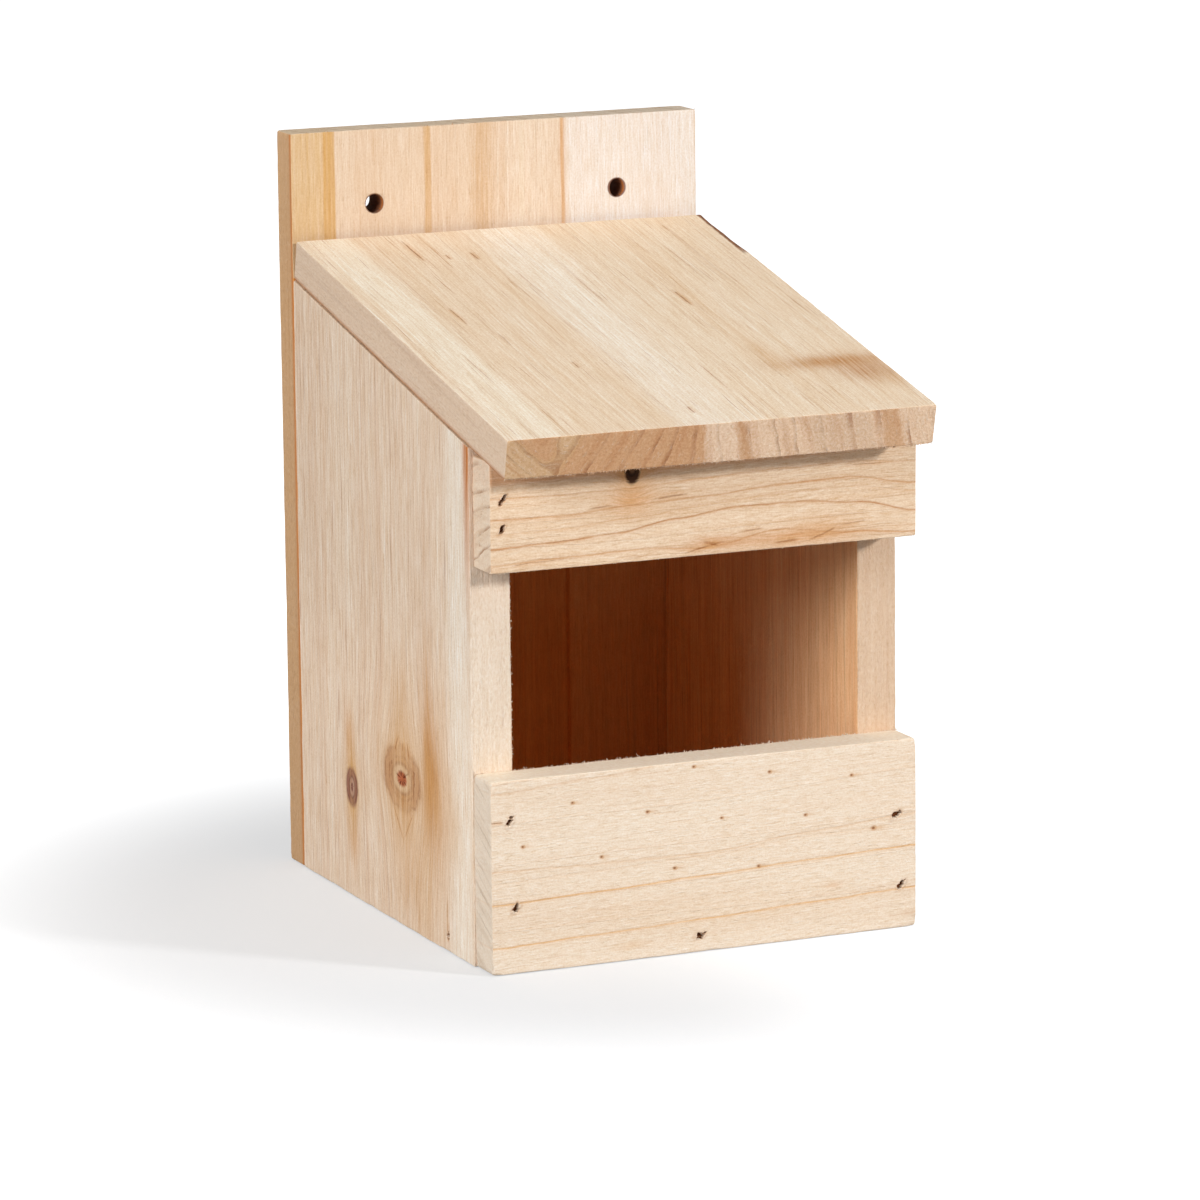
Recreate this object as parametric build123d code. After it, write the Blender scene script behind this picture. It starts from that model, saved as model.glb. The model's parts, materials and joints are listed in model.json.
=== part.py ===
from build123d import *
import os

# Open-fronted wooden nest box, nailed together from seven softwood boards.
# Frame: millimetres, +Z up, +X to the right of somebody facing the opening, the opening faces -Y.
# Origin: the middle of the overall outline, on the plane that the box stands on.

# Overall outline
OVERALL_WIDTH = 120.0
OVERALL_DEPTH = 155.0
OVERALL_HEIGHT = 200.0

# Board thicknesses
BACK_THICKNESS = 10.0
SIDE_THICKNESS = 11.1
FRONT_THICKNESS = 11.0
FLOOR_THICKNESS = 10.0
ROOF_THICKNESS = 10.6

# Roof: a plain square-cut board that slopes down to the front and stands out past the front boards
ROOF_SLOPE = 12.6
ROOF_OVERHANG = 14.0
ROOF_REAR_UNDERSIDE_HEIGHT = 161.2

# Front: a low panel to hold the nest, an open band above it, and a rail under the roof
LOWER_PANEL_HEIGHT = 50.2
OPENING_HEIGHT = 53.2

# The boards are sawn and nailed by hand, so some stop a little short of the outline
BACK_SHORT_ON_RIGHT = 1.5
RIGHT_SIDE_INSET = 0.4
RAIL_SHORT_ON_LEFT = 1.2
LOWER_PANEL_SHORT_ON_LEFT = 0.4
ROOF_SHORT_ON_LEFT = 0.2
ROOF_SHORT_ON_RIGHT = 1.0

# Two holes near the top of the back board, to hang the box on screws
HANGING_HOLE_RADIUS = 2.5
HANGING_HOLE_SPACING = 71.0
HANGING_HOLE_HEIGHT = 180.0

# 18-gauge brads, driven just below the surface by a nail gun
NAIL_LENGTH = 30.0
NAIL_SHANK = (1.25, 1.0)
NAIL_HEAD = (2.0, 1.25)
NAIL_HEAD_THICKNESS = 0.6
NAIL_POINT_LENGTH = 2.5
NAIL_POINT_WIDTH = 0.2
NAIL_SINK = 1.0

# Planes that follow from the sizes above
LEFT = -OVERALL_WIDTH / 2
RIGHT = OVERALL_WIDTH / 2
REAR = OVERALL_DEPTH / 2
ROOF_FRONT = -OVERALL_DEPTH / 2
BACK_FACE = REAR - BACK_THICKNESS
FRONT_FACE = ROOF_FRONT + ROOF_OVERHANG
FRONT_BOARDS_REAR = FRONT_FACE + FRONT_THICKNESS
BACK_RIGHT = RIGHT - BACK_SHORT_ON_RIGHT
SIDES_RIGHT = RIGHT - RIGHT_SIDE_INSET
LEFT_SIDE_INNER = LEFT + SIDE_THICKNESS
RIGHT_SIDE_INNER = SIDES_RIGHT - SIDE_THICKNESS
LEFT_SIDE_MIDDLE = LEFT + SIDE_THICKNESS / 2
RIGHT_SIDE_MIDDLE = SIDES_RIGHT - SIDE_THICKNESS / 2
RAIL_BOTTOM = LOWER_PANEL_HEIGHT + OPENING_HEIGHT

# Unit vectors of the sloping roof, seen from the side: along the board to the front, and out of its top
ROOF_ALONG = Vector(0, -1, 0).rotate(Axis.X, ROOF_SLOPE)
ROOF_UP = Vector(0, 0, 1).rotate(Axis.X, ROOF_SLOPE)
ROOF_SEAT = Vector(0, BACK_FACE, ROOF_REAR_UNDERSIDE_HEIGHT)
ROOF_LENGTH = (BACK_FACE + ROOF_UP.Y * ROOF_THICKNESS - ROOF_FRONT) / -ROOF_ALONG.Y


def roof_underside(y):
    """Height of the roof's underside at depth y."""
    return ROOF_SEAT.Z + (y - ROOF_SEAT.Y) * ROOF_ALONG.Z / ROOF_ALONG.Y


def board(left, right, front, rear, bottom, top):
    """A rectangular board between six planes."""
    size = Box(right - left, rear - front, top - bottom)
    return Pos((left + right) / 2, (front + rear) / 2, (bottom + top) / 2) * size


def profile_board(left, right, points):
    """A board whose side view is the polygon of (y, z) points, between two planes across the box."""
    outline = make_face(Polyline(*[(left, y, z) for y, z in points], close=True))
    return extrude(outline, amount=right - left, dir=(1, 0, 0))


def nail(head, into, wide):
    """A brad whose head's top lies at a point, driven along one direction, wide across another."""
    tip_start = NAIL_LENGTH - NAIL_POINT_LENGTH
    head_plate = Pos(0, 0, NAIL_HEAD_THICKNESS / 2) * Box(*NAIL_HEAD, NAIL_HEAD_THICKNESS)
    shank = Pos(0, 0, tip_start / 2) * Box(*NAIL_SHANK, tip_start)
    point = loft([
        Pos(0, 0, tip_start) * Rectangle(*NAIL_SHANK),
        Pos(0, 0, NAIL_LENGTH) * Rectangle(NAIL_POINT_WIDTH, NAIL_SHANK[1]),
    ])
    return Plane(origin=head, x_dir=wide, z_dir=into) * (head_plate + shank + point)


def punch_mark(head, into, wide):
    """The slot that the gun's driver leaves above a sunk head, run on past the board's face."""
    slot = Pos(0, 0, -NAIL_SINK) * Box(*NAIL_HEAD, 2 * NAIL_SINK)
    return Plane(origin=head, x_dir=wide, z_dir=into) * slot


def front_heads(places):
    """Heads in the front boards, from (x, z) places on their face."""
    return [(x, FRONT_FACE + NAIL_SINK, z) for x, z in places]


def rear_heads(places):
    """Heads in the back board, from (x, z) places on its rear face."""
    return [(x, REAR - NAIL_SINK, z) for x, z in places]


# Each row of nails: node name, heads, driving direction, direction of the head's long side, boards it passes
REARWARD, FORWARD = (0, 1, 0), (0, -1, 0)
RIGHTWARD, LEFTWARD = (1, 0, 0), (-1, 0, 0)
UPWARD = (0, 0, 1)
FLOOR_MIDDLE = FLOOR_THICKNESS / 2
ROOF_END_MIDDLE = ROOF_REAR_UNDERSIDE_HEIGHT + ROOF_THICKNESS / 2
SIDE_NAIL_DEPTH = -35.0
BACK_NAIL_HEIGHTS = (32.0, 86.0, 140.0)
BACK_MIDDLE = (LEFT + BACK_RIGHT) / 2

NAIL_ROWS = [
    ("upper_rail_nails_left", front_heads([(-55.2, 122.4), (-55.6, 114.6)]), REARWARD, RIGHTWARD,
     ["upper_front_rail", "left_side_panel"]),
    ("upper_rail_nail_right", front_heads([(54.3, 128.4)]), REARWARD, RIGHTWARD,
     ["upper_front_rail", "right_side_panel"]),
    ("lower_panel_nails_left", front_heads([(-54.4, 39.6), (-53.0, 17.1)]), REARWARD, RIGHTWARD,
     ["lower_front_panel", "left_side_panel"]),
    ("lower_panel_nails_right", front_heads([(54.3, 30.2), (55.8, 11.4)]), REARWARD, RIGHTWARD,
     ["lower_front_panel", "right_side_panel"]),
    ("lower_panel_floor_nail", front_heads([(-1.9, 4.3)]), REARWARD, RIGHTWARD,
     ["lower_front_panel", "floor_board"]),
    ("left_side_floor_nail", [(LEFT + NAIL_SINK, SIDE_NAIL_DEPTH, FLOOR_MIDDLE)], RIGHTWARD, UPWARD,
     ["left_side_panel", "floor_board"]),
    ("right_side_floor_nail", [(SIDES_RIGHT - NAIL_SINK, SIDE_NAIL_DEPTH, FLOOR_MIDDLE)], LEFTWARD, UPWARD,
     ["right_side_panel", "floor_board"]),
    ("back_board_nails_left", rear_heads([(LEFT_SIDE_MIDDLE, z) for z in BACK_NAIL_HEIGHTS]), FORWARD, UPWARD,
     ["back_board", "left_side_panel"]),
    ("back_board_nails_right", rear_heads([(RIGHT_SIDE_MIDDLE, z) for z in BACK_NAIL_HEIGHTS]), FORWARD, UPWARD,
     ["back_board", "right_side_panel"]),
    ("back_board_floor_nail", rear_heads([(BACK_MIDDLE, FLOOR_MIDDLE)]), FORWARD, RIGHTWARD,
     ["back_board", "floor_board"]),
]

# The roof's nails run down its slope from behind, so their heads lie square to the roof and not to the board
ROOF_NAIL_PLACES = (-38.0, 0.0, 38.0)


def roof_nail_head(x):
    """Head of a roof nail: on the roof board's middle plane, just below the back board's rear face."""
    start = ROOF_SEAT + ROOF_UP * (ROOF_THICKNESS / 2)
    back_off = (REAR - NAIL_SINK - start.Y) / -ROOF_ALONG.Y
    head = start - ROOF_ALONG * back_off
    return (x, head.Y, head.Z)


NAIL_ROWS.append(
    ("roof_nails", [roof_nail_head(x) for x in ROOF_NAIL_PLACES], tuple(ROOF_ALONG), RIGHTWARD,
     ["back_board", "roof_board"])
)

# Boards
boards = {}

boards["back_board"] = board(LEFT, BACK_RIGHT, BACK_FACE, REAR, 0, OVERALL_HEIGHT)
for side in (-1, 1):
    hole = Cylinder(HANGING_HOLE_RADIUS, 2 * BACK_THICKNESS, rotation=(90, 0, 0))
    hole_x = BACK_MIDDLE + side * HANGING_HOLE_SPACING / 2
    boards["back_board"] -= Pos(hole_x, BACK_FACE, HANGING_HOLE_HEIGHT) * hole

side_profile = [
    (FRONT_BOARDS_REAR, 0),
    (BACK_FACE, 0),
    (BACK_FACE, ROOF_REAR_UNDERSIDE_HEIGHT),
    (FRONT_BOARDS_REAR, roof_underside(FRONT_BOARDS_REAR)),
]
boards["left_side_panel"] = profile_board(LEFT, LEFT_SIDE_INNER, side_profile)
boards["right_side_panel"] = profile_board(RIGHT_SIDE_INNER, SIDES_RIGHT, side_profile)

boards["floor_board"] = board(
    LEFT_SIDE_INNER, RIGHT_SIDE_INNER, FRONT_BOARDS_REAR, BACK_FACE, 0, FLOOR_THICKNESS
)
boards["lower_front_panel"] = board(
    LEFT + LOWER_PANEL_SHORT_ON_LEFT, RIGHT, FRONT_FACE, FRONT_BOARDS_REAR, 0, LOWER_PANEL_HEIGHT
)
boards["upper_front_rail"] = board(
    LEFT + RAIL_SHORT_ON_LEFT, RIGHT, FRONT_FACE, FRONT_BOARDS_REAR, RAIL_BOTTOM, roof_underside(FRONT_FACE)
)

roof_corners = [
    ROOF_SEAT,
    ROOF_SEAT + ROOF_UP * ROOF_THICKNESS,
    ROOF_SEAT + ROOF_UP * ROOF_THICKNESS + ROOF_ALONG * ROOF_LENGTH,
    ROOF_SEAT + ROOF_ALONG * ROOF_LENGTH,
]
boards["roof_board"] = profile_board(
    LEFT + ROOF_SHORT_ON_LEFT, RIGHT - ROOF_SHORT_ON_RIGHT, [(corner.Y, corner.Z) for corner in roof_corners]
)

# Nails, and the tight holes that they make in the boards
nail_groups = {}
for name, heads, into, wide, passed in NAIL_ROWS:
    nails = [nail(head, into, wide) for head in heads]
    marks = [punch_mark(head, into, wide) for head in heads]
    nail_groups[name] = Compound(children=nails)
    for board_name in passed:
        for tool in nails + marks:
            boards[board_name] -= tool

# One STEP file for each node
os.makedirs("parts", exist_ok=True)
for name, shape in {**boards, **nail_groups}.items():
    shape.label = name
    export_step(shape, f"parts/{name}.step")
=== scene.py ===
import json
import math

import bmesh
import bpy
import numpy as np
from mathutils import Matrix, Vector


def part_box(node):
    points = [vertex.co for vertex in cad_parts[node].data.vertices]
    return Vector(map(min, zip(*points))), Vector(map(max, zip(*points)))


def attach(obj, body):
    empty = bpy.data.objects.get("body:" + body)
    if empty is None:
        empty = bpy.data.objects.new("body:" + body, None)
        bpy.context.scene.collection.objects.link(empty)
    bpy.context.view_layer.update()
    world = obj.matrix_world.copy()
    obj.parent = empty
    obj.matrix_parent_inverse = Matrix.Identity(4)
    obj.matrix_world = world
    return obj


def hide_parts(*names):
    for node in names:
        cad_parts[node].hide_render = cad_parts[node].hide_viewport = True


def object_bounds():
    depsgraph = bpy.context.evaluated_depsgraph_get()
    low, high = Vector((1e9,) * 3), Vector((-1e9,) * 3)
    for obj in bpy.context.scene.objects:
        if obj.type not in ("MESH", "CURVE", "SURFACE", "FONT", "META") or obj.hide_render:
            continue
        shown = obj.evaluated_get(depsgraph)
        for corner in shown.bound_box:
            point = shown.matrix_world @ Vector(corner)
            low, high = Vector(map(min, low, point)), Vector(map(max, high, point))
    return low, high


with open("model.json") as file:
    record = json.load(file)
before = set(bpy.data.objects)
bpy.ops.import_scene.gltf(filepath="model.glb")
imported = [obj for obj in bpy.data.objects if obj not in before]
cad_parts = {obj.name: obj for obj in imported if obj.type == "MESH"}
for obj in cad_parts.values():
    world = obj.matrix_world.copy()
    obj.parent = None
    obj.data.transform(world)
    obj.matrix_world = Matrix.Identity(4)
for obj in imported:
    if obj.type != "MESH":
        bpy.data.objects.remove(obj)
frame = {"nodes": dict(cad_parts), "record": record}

CAD_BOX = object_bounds()
MM = 0.001
ROOT = "root"

LEFTWARD, RIGHTWARD = np.array([-1.0, 0, 0]), np.array([1.0, 0, 0])
REARWARD, UPWARD = np.array([0, 1.0, 0]), np.array([0, 0, 1.0])


# ---- numbers for the geometry, in mm

ARRIS_RADIUS = 0.32
ARRIS_CHIP = 0.315
EDGE_ROWS = (0.10, 0.22, 0.36, 0.55, 0.8, 1.2, 1.8)
GRID_STEP = 1.25
BACK_GRID_STEP = 1.9
THICKNESS_STEPS = 1.5
SURFACE_WAVE = 0.06
PIT_DEPTH = 1.12
PIT_STEPS = {"outer": 0.17, "rear": 0.24}
LEAST_GAP = 0.45 * PIT_STEPS["outer"]
PIT_RAGGED = 0.42
PIT_TORN = 0.16
PIT_REACH = 2.4
LEAST_RADIUS = 0.12
MOST_SWELL = 0.25
TOP_GAP = 0.3
WANE_LENGTH, WANE_RADIUS = 33.0, 1.2
SAME_POINT = 1e-6


def link(thing):
    bpy.context.scene.collection.objects.link(thing)


def mesh_from(shape, name):
    """A mesh from a bmesh, which is freed."""
    mesh = bpy.data.meshes.new(name)
    shape.to_mesh(mesh)
    shape.free()
    return mesh


def box_mm(node):
    """A CAD node's corners in mm."""
    low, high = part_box(node)
    return np.array(low) / MM, np.array(high) / MM


# ---- boards and their own axes


class Board:
    """A board's corner, size and axes: a runs along the grain, b across the width, c through it."""

    def __init__(self, node, corner, along, across, size):
        self.node = node
        self.corner = np.array(corner, float)
        self.axes = np.array([along, across, np.cross(along, across)])
        self.size = np.array(size, float)
        self.end_shares = (1.0, 1.0)
        self.pits = []

    def to_row(self, points):
        """Board coordinates in mm to the row frame in metres, with each end's share of the full length."""
        points = np.array(points, float)
        share = points[:, 1] / self.size[1]
        points[:, 0] *= self.end_shares[0] * (1 - share) + self.end_shares[1] * share
        return (self.corner + points @ self.axes) * MM

    def to_board(self, point):
        """A place in the row frame, in mm, to board coordinates."""
        return self.axes @ (np.array(point) - self.corner)


def upright_board(node, face):
    """A board with vertical grain whose c axis points in from the named outer face."""
    low, high = box_mm(node)
    inward = {"left": RIGHTWARD, "right": LEFTWARD, "front": REARWARD}[face]
    across = np.cross(inward, UPWARD)
    corner = np.where(inward + across > 0, low, high)
    corner[2] = low[2]
    width = abs((high - low) @ across)
    thickness = abs((high - low) @ inward)
    return Board(node, corner, UPWARD, across, (high[2] - low[2], width, thickness))


def level_board(node):
    """A front board with grain from left to right: b runs down from its top edge, c in from its face."""
    low, high = box_mm(node)
    size = high - low
    return Board(node, (low[0], low[1], high[2]), RIGHTWARD, -UPWARD, (size[0], size[2], size[1]))


BACK = upright_board("back_board", "front")
LEFT_SIDE = upright_board("left_side_panel", "left")
RIGHT_SIDE = upright_board("right_side_panel", "right")
LOWER_PANEL = level_board("lower_front_panel")
RAIL = level_board("upper_front_rail")

# The roof's slope is where it rests: on the rail's front edge and on the sides' high rear corners
SIDE_LOW, SIDE_HIGH = box_mm("left_side_panel")
RAIL_LOW, RAIL_HIGH = box_mm("upper_front_rail")
ROOF_LOW, ROOF_HIGH = box_mm("roof_board")
SLOPE = math.atan2(SIDE_HIGH[2] - RAIL_HIGH[2], SIDE_HIGH[1] - RAIL_LOW[1])
ROOF_THICKNESS = (ROOF_HIGH[2] - SIDE_HIGH[2]) / math.cos(SLOPE)
ROOF_RUN = ROOF_HIGH[1] - ROOF_LOW[1] - ROOF_THICKNESS * math.sin(SLOPE)
ROOF = Board(
    "roof_board",
    (ROOF_LOW[0], ROOF_HIGH[1], SIDE_HIGH[2]),
    (0, -math.cos(SLOPE), -math.sin(SLOPE)),
    RIGHTWARD,
    (ROOF_RUN / math.cos(SLOPE), ROOF_HIGH[0] - ROOF_LOW[0], ROOF_THICKNESS),
)

FLOOR_LOW, FLOOR_HIGH = box_mm("floor_board")
FLOOR = Board("floor_board", FLOOR_LOW, RIGHTWARD, REARWARD, FLOOR_HIGH - FLOOR_LOW)

# The sides' tops follow the roof, a hair below it
SIDE_FRONT_SHARE = 1 - (SIDE_HIGH[1] - SIDE_LOW[1]) * math.tan(SLOPE) / SIDE_HIGH[2]
LEFT_SIDE.end_shares = (1.0, SIDE_FRONT_SHARE)
RIGHT_SIDE.end_shares = (SIDE_FRONT_SHARE, 1.0)
for side in (LEFT_SIDE, RIGHT_SIDE):
    side.size[0] -= TOP_GAP


# ---- smooth noise on arrays of points

LATTICE = 32


def wave(points, lengths, seed):
    """Smooth noise from -1 to 1 at points in mm, with its own wavelength along each axis."""
    table = np.random.default_rng(seed).random((LATTICE, LATTICE, LATTICE)) * 2 - 1
    scaled = points / np.array(lengths, float)
    cell = np.floor(scaled).astype(int)
    part = scaled - cell
    part = part * part * (3 - 2 * part)
    total = np.zeros(len(points))
    for corner in np.ndindex(2, 2, 2):
        weight = np.prod(np.where(np.array(corner) == 1, part, 1 - part), axis=1)
        i, j, k = ((cell + corner) % LATTICE).T
        total += weight * table[i, j, k]
    return total


def smooth(value, low, high):
    """0 below low, 1 above high, and a smooth step between."""
    share = np.clip((value - low) / (high - low), 0, 1)
    return share * share * (3 - 2 * share)


# ---- board meshes


def grid_rows(length, step, focus=()):
    """Places of the grid's lines along an edge: even, closer near both arrises, closest near each focus."""
    count = max(2, round(length / step))
    rows = list(np.linspace(0, length, count + 1))
    rows += list(EDGE_ROWS)
    rows += [length - row for row in EDGE_ROWS]
    for centre, reach, fine in focus:
        rows += list(np.arange(centre - reach, centre + reach + fine / 2, fine))
    kept = []
    for row in sorted(row for row in rows if 0 <= row <= length):
        if kept and row - kept[-1] < LEAST_GAP:
            continue
        kept.append(row)
    kept[-1] = length
    return np.array(kept)


def side_quads(index, flip):
    """Quads over one side's table of vertex numbers."""
    quads = np.stack([index[:-1, :-1], index[1:, :-1], index[1:, 1:], index[:-1, 1:]], axis=-1).reshape(-1, 4)
    return quads[:, ::-1] if flip else quads


def closed_grid(rows):
    """Vertices and quads of a closed box whose six sides are grids on the given rows along a, b and c."""
    a, b, c = rows
    shape = (len(a), len(b), len(c))
    outer = np.zeros(shape, bool)
    for axis in range(3):
        for end in (0, -1):
            outer[(slice(None),) * axis + (end,)] = True
    index = np.full(shape, -1)
    index[outer] = np.arange(outer.sum())
    i, j, k = np.nonzero(outer)
    points = np.stack([a[i], b[j], c[k]], axis=1)
    quads = np.concatenate([
        side_quads(index[:, :, -1], False), side_quads(index[:, :, 0], True),
        side_quads(index[:, -1, :], True), side_quads(index[:, 0, :], False),
        side_quads(index[-1, :, :], False), side_quads(index[0, :, :], True),
    ])
    return points, quads


class Pit:
    """A ragged mark in a board's face where a nail's head was driven below it."""

    def __init__(self, centre, face, tilt, long, short, seed):
        self.centre, self.face, self.tilt = centre, face, tilt
        self.long, self.short, self.seed = long, short, seed

    def depth(self, points, facing):
        """How far each surface point moves in. facing is the surface's outward direction along c."""
        on_face = facing < -0.9 if self.face == "outer" else facing > 0.9
        away = points[:, :2] - self.centre
        turn, lift = math.cos(self.tilt), math.sin(self.tilt)
        along = (away[:, 0] * turn + away[:, 1] * lift) / self.long
        across = (-away[:, 0] * lift + away[:, 1] * turn) / self.short
        ragged = wave(points, (1.1, 0.55, 0.55), self.seed)
        ragged += 0.7 * wave(points, (0.5, 0.32, 0.32), self.seed + 1)
        ring = np.hypot(along, across) + PIT_RAGGED * ragged
        hole = PIT_DEPTH * (1 - smooth(ring, 0.62, 1.0))
        torn = PIT_TORN * np.exp(-(((ring - 1.2) / 0.2) ** 2)) * np.maximum(0, 0.3 + ragged)
        return np.where(on_face & (np.hypot(along, across) < 3), hole - torn, 0.0)


def board_surface(board, edges, step, seed):
    """A board's worn, slightly uneven surface as points in mm and quads."""
    size, thickness = board.size, board.size[2]
    rows = [grid_rows(thickness, step * THICKNESS_STEPS)]
    for axis in (1, 0):
        focus = [(pit.centre[axis], PIT_REACH, PIT_STEPS[pit.face]) for pit in board.pits]
        rows.insert(0, grid_rows(size[axis], step, focus))
    points, quads = closed_grid(rows)
    rough = wave(points, (7, 7, 7), seed) + 0.6 * wave(points, (1.6, 1.6, 1.6), seed + 1)
    chips = smooth(wave(points, (5.5, 5.5, 5.5), seed + 2), 0.5, 0.9)
    radius = ARRIS_RADIUS * (1 + 0.45 * rough) + ARRIS_CHIP * chips
    if edges is not None:
        radius = np.maximum(radius, edges(points))
    radius = np.clip(radius, LEAST_RADIUS, thickness / 2.2)[:, None]
    core = np.clip(points, radius, size - radius)
    out = points - core
    out /= np.linalg.norm(out, axis=1)[:, None]
    swell = SURFACE_WAVE * wave(points, (34, 21, 21), seed + 3)
    for pit in board.pits:
        swell = swell - pit.depth(points, out[:, 2])
    return core + out * (radius + np.minimum(swell, MOST_SWELL)[:, None]), quads


# ---- nails, and the marks over their heads


def nail_heads(node):
    """Middle of each nail's head in a group, in mm: the end of each separate nail that lies furthest out."""
    shape = bmesh.new()
    shape.from_mesh(frame["nodes"][node].data)
    bmesh.ops.remove_doubles(shape, verts=shape.verts, dist=SAME_POINT)
    shape.verts.ensure_lookup_table()
    left = set(range(len(shape.verts)))
    heads = []
    while left:
        nail, front = set(), [left.pop()]
        while front:
            number = front.pop()
            nail.add(number)
            for edge in shape.verts[number].link_edges:
                other = edge.other_vert(shape.verts[number]).index
                if other in left:
                    left.remove(other)
                    front.append(other)
        spots = np.array([shape.verts[number].co for number in nail]) / MM
        low, high = spots.min(axis=0), spots.max(axis=0)
        long_axis = int(np.argmax(high - low))
        outward = np.sign((low + high)[long_axis])
        head = (low + high) / 2
        head[long_axis] = (high if outward > 0 else low)[long_axis]
        heads.append(head)
    shape.free()
    return sorted(heads, key=lambda head: tuple(np.round(head, 3)))


def mark_nails(board, node, face, tilts, long, short):
    """Gives a board the marks over one group's nails: their face, each one's tilt, and their half sizes."""
    for head, tilt in zip(nail_heads(node), tilts):
        centre = board.to_board(head)[:2]
        seed = int(abs(centre[0] * 7 + centre[1] * 3))
        board.pits.append(Pit(centre, face, math.radians(tilt), long, short, seed))


# ---- torn fibres left by the saw


def fibre_tufts(edges, seed):
    """Short upright splinters along sawn arrises, as points in board coordinates and faces.

    Each edge is (start, end, lean, count, longest): two places and a direction in board coordinates, mm.
    """
    random = np.random.default_rng(seed)
    points, faces = [], []
    for start, end, lean, count, longest in edges:
        start, end, lean = (np.array(v, float) for v in (start, end, lean))
        run = (end - start) / np.linalg.norm(end - start)
        for _ in range(count):
            root = start + (end - start) * random.random() + random.normal(0, 0.08, 3)
            height = longest * (0.25 + 0.75 * random.random() ** 2.5)
            way = lean / np.linalg.norm(lean) + random.normal(0, 0.35, 3)
            way /= np.linalg.norm(way)
            bend = random.normal(0, 0.25, 3) * height
            half = random.uniform(0.05, 0.13)
            side_way = np.cross(way, run)
            side_way /= np.linalg.norm(side_way) + 1e-9
            first = len(points)
            for share, thick in ((-0.3, 1.0), (0.45, 0.75), (1.0, 0.12)):
                middle = root + way * height * share + bend * max(share, 0) ** 2
                for turn in range(3):
                    angle = turn * math.tau / 3
                    offset = run * math.cos(angle) * half * 1.6 + side_way * math.sin(angle) * half
                    points.append(middle + offset * thick)
            for level in range(2):
                for turn in range(3):
                    p, q = first + level * 3 + turn, first + level * 3 + (turn + 1) % 3
                    faces.append((p, q, q + 3, p + 3))
            faces.append((first + 2, first + 1, first))
            faces.append((first + 6, first + 7, first + 8))
    return np.array(points), faces


# ---- the two hanging holes


def ragged_bore(centre, axis, radius, depth, squeeze, seed):
    """A bored hole's cutter in metres: a rough-walled round bar along axis, squeezed sideways, torn below."""
    side_way = np.cross(axis, UPWARD)
    shape = bmesh.new()
    around, levels = 48, 9
    rings = []
    for level in range(levels):
        at = (level / (levels - 1) - 0.5) * depth
        ring = []
        for step in range(around):
            angle = math.tau * step / around
            place = np.array([[math.cos(angle) * 2, math.sin(angle) * 2, at]])
            rough = 0.07 * wave(place, (0.8, 0.8, 2.5), seed)[0]
            rough += 0.05 * wave(place, (0.3, 0.3, 5), seed + 1)[0]
            torn = 0.35 * max(0.0, -math.sin(angle)) ** 3 * abs(wave(place, (0.35, 0.35, 1), seed + 2)[0])
            reach = radius + rough + torn
            around_way = side_way * math.cos(angle) * squeeze + UPWARD * math.sin(angle)
            spot = centre + axis * at + around_way * reach
            ring.append(shape.verts.new(Vector(spot * MM)))
        rings.append(ring)
    for lower, upper in zip(rings, rings[1:]):
        for step in range(around):
            after = (step + 1) % around
            shape.faces.new((lower[step], lower[after], upper[after], upper[step]))
    shape.faces.new(rings[0][::-1])
    shape.faces.new(rings[-1])
    bmesh.ops.recalc_face_normals(shape, faces=shape.faces)
    return bpy.data.objects.new("bore_cutter", mesh_from(shape, "bore_cutter"))


def cut(piece, cutters):
    """Cuts shapes out of a piece and throws the cutters away."""
    for cutter in cutters:
        link(cutter)
        modifier = piece.modifiers.new("cut", "BOOLEAN")
        modifier.operation = "DIFFERENCE"
        modifier.solver = "MANIFOLD"
        modifier.object = cutter
    bpy.context.view_layer.update()
    done = bpy.data.meshes.new_from_object(piece.evaluated_get(bpy.context.evaluated_depsgraph_get()))
    piece.modifiers.clear()
    old = piece.data
    piece.data = done
    bpy.data.meshes.remove(old)
    for cutter in cutters:
        mesh = cutter.data
        bpy.data.objects.remove(cutter)
        bpy.data.meshes.remove(mesh)


# ---- shader arithmetic


def as_linear(red, green, blue):
    """An everyday 0 to 255 colour as the linear values that a shader takes."""
    parts = [value / 255 for value in (red, green, blue)]
    return tuple(p / 12.92 if p <= 0.04045 else ((p + 0.055) / 1.055) ** 2.4 for p in parts) + (1.0,)


class Value:
    """A number that varies over the surface. Arithmetic on it adds math nodes."""

    def __init__(self, shade, socket):
        self.shade, self.socket = shade, socket

    def __abs__(self):
        return self.shade.math("ABSOLUTE", self)


def value_method(operation, swapped):
    """A method of Value for one arithmetic sign. It is swapped where the Value stands on the sign's right."""
    def method(self, other):
        first, second = (other, self) if swapped else (self, other)
        return self.shade.math(operation, first, second)
    return method


SIGNS = {"add": "ADD", "sub": "SUBTRACT", "mul": "MULTIPLY", "truediv": "DIVIDE", "pow": "POWER"}
for sign, math_operation in SIGNS.items():
    setattr(Value, f"__{sign}__", value_method(math_operation, False))
    setattr(Value, f"__r{sign}__", value_method(math_operation, True))


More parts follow.
